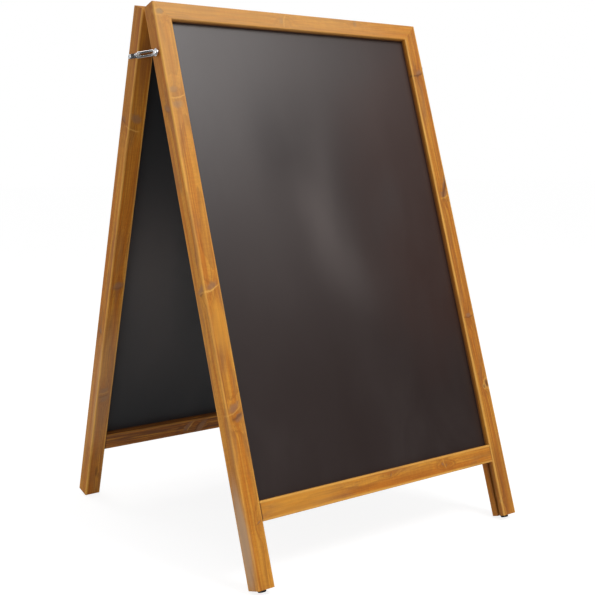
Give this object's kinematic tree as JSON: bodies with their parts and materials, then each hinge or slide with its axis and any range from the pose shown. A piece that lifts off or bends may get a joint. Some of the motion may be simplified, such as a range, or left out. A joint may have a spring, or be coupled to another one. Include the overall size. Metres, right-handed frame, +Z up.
{
  "type": "sandwich board",
  "caption": "Folding A-shaped pavement chalkboard: grooved timber frames with chalk panels, hinged at the top and held open by sliding steel stays.",
  "frame": {"origin": "on the ground, midway between the two frames and between the two sides", "axes": "+X across the board to the right seen from the front, +Y to the rear, +Z up"},
  "size_m": [0.7588, 0.8, 1.1574],
  "materials": {
    "stained_pine": "satin, honey-stained planed softwood",
    "chalkboard": "satin dark brown-black chalk surface on a fibreboard panel",
    "beech_dowel": "plain, glued inside the joints",
    "zinc_steel": "bright zinc-plated steel",
    "nylon": "natural nylon",
    "black_rubber": "matt black rubber"
  },
  "bodies": {
    "front_frame": {"front_left_stile": "stained_pine", "front_right_stile": "stained_pine", "front_top_rail": "stained_pine", "front_bottom_rail": "stained_pine", "front_chalkboard": "chalkboard", "front_corner_dowels": "beech_dowel", "left_hinge_front_leaf": "zinc_steel", "left_hinge_pin": "zinc_steel", "right_hinge_front_leaf": "zinc_steel", "right_hinge_pin": "zinc_steel", "front_hinge_screws": "zinc_steel", "left_stay_front_screw": "zinc_steel", "left_stay_front_washer": "zinc_steel", "right_stay_front_screw": "zinc_steel", "right_stay_front_washer": "zinc_steel", "front_left_foot": "black_rubber", "front_right_foot": "black_rubber", "front_foot_screws": "zinc_steel"},
    "rear_frame": {"rear_left_stile": "stained_pine", "rear_right_stile": "stained_pine", "rear_top_rail": "stained_pine", "rear_bottom_rail": "stained_pine", "rear_chalkboard": "chalkboard", "rear_corner_dowels": "beech_dowel", "left_hinge_rear_leaf": "zinc_steel", "right_hinge_rear_leaf": "zinc_steel", "rear_hinge_screws": "zinc_steel", "left_stay_rear_screw": "zinc_steel", "left_stay_rear_washer": "zinc_steel", "right_stay_rear_screw": "zinc_steel", "right_stay_rear_washer": "zinc_steel", "rear_left_foot": "black_rubber", "rear_right_foot": "black_rubber", "rear_foot_screws": "zinc_steel"},
    "left_stay_channel": {"left_stay_channel": "zinc_steel"},
    "left_stay_bar": {"left_stay_slide_bar": "zinc_steel", "left_stay_stud": "zinc_steel", "left_stay_glide_washer": "nylon", "left_stay_clamp_washer": "zinc_steel", "left_stay_lock_nut": "zinc_steel"},
    "right_stay_channel": {"right_stay_channel": "zinc_steel"},
    "right_stay_bar": {"right_stay_slide_bar": "zinc_steel", "right_stay_stud": "zinc_steel", "right_stay_glide_washer": "nylon", "right_stay_clamp_washer": "zinc_steel", "right_stay_lock_nut": "zinc_steel"}
  },
  "joints": [
    {"name": "fold", "type": "hinge", "parent": "front_frame", "child": "rear_frame", "pos_m": [0, 0, 1.14919], "axis": [1, 0, 0], "range_deg": [-35, 0]},
    {"name": "left_channel_pivot", "type": "hinge", "parent": "front_frame", "child": "left_stay_channel", "pos_m": [-0.365, -0.05786, 1.05213], "axis": [1, 0, 0], "range_deg": [-17.5, 0]},
    {"name": "left_bar_pivot", "type": "hinge", "parent": "rear_frame", "child": "left_stay_bar", "pos_m": [-0.365, 0.05962, 1.0532], "axis": [1, 0, 0], "range_deg": [0, 17.5]},
    {"name": "right_channel_pivot", "type": "hinge", "parent": "front_frame", "child": "right_stay_channel", "pos_m": [0.365, -0.05786, 1.05213], "axis": [1, 0, 0], "range_deg": [-17.5, 0]},
    {"name": "right_bar_pivot", "type": "hinge", "parent": "rear_frame", "child": "right_stay_bar", "pos_m": [0.365, 0.05962, 1.0532], "axis": [1, 0, 0], "range_deg": [0, 17.5]}
  ],
  "couplings": [
    {"joint": "left_channel_pivot", "follows": "fold", "ratio": 0.5},
    {"joint": "left_bar_pivot", "follows": "fold", "ratio": -0.5},
    {"joint": "right_channel_pivot", "follows": "fold", "ratio": 0.5},
    {"joint": "right_bar_pivot", "follows": "fold", "ratio": -0.5}
  ]
}
